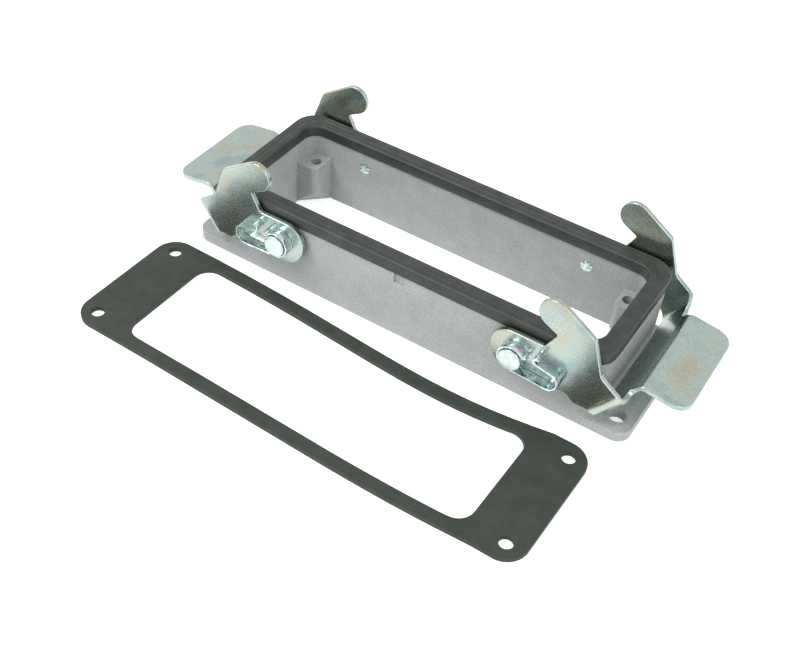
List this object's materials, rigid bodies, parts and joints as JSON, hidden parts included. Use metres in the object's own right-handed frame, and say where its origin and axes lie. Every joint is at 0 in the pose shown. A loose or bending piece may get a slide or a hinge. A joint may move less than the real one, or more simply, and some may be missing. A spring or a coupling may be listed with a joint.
{
  "type": "heavy duty rectangular connector housing",
  "caption": "Bulkhead connector housing with an open rectangular shell, rim seal, folded sheet locking levers on staked pins, detent springs and a loose flange gasket.",
  "frame": {"origin": "middle of the flange's hole pattern, on the panel face under the flange", "axes": "+Z out of the panel towards the hood, +X along the housing, +Y away from the loose gasket; both levers stand open at rest"},
  "size_m": [0.163, 0.1007, 0.0388],
  "materials": {
    "housing_paint": "light grey powder coat with a fine hammered texture on die cast aluminium",
    "seal_rubber": "near black, smooth, slightly shiny",
    "gasket_rubber": "dark grey sheet with a faint green cast, matt, paler cut edge",
    "lever_zinc": "zinc plated and passivated sheet, satin, with a faint green and yellow cast",
    "pin_steel": "bright zinc plated turned steel",
    "spring_steel": "bright spring strip"
  },
  "bodies": {
    "base": {"housing": "housing_paint", "rim_seal": "seal_rubber", "flange_gasket": "gasket_rubber", "pin_left_front": "pin_steel", "pin_left_rear": "pin_steel", "pin_right_front": "pin_steel", "pin_right_rear": "pin_steel"},
    "left_lever": {"lever_left": "lever_zinc", "spring_left_front": "spring_steel", "spring_left_rear": "spring_steel"},
    "right_lever": {"lever_right": "lever_zinc", "spring_right_front": "spring_steel", "spring_right_rear": "spring_steel"}
  },
  "joints": [
    {"name": "left_lever_pivot", "type": "hinge", "parent": "base", "child": "left_lever", "pos_m": [-0.0371, 0, 0.0167], "axis": [0, 1, 0], "range_deg": [0, 90]},
    {"name": "right_lever_pivot", "type": "hinge", "parent": "base", "child": "right_lever", "pos_m": [0.0371, 0, 0.0167], "axis": [0, -1, 0], "range_deg": [0, 90]}
  ]
}
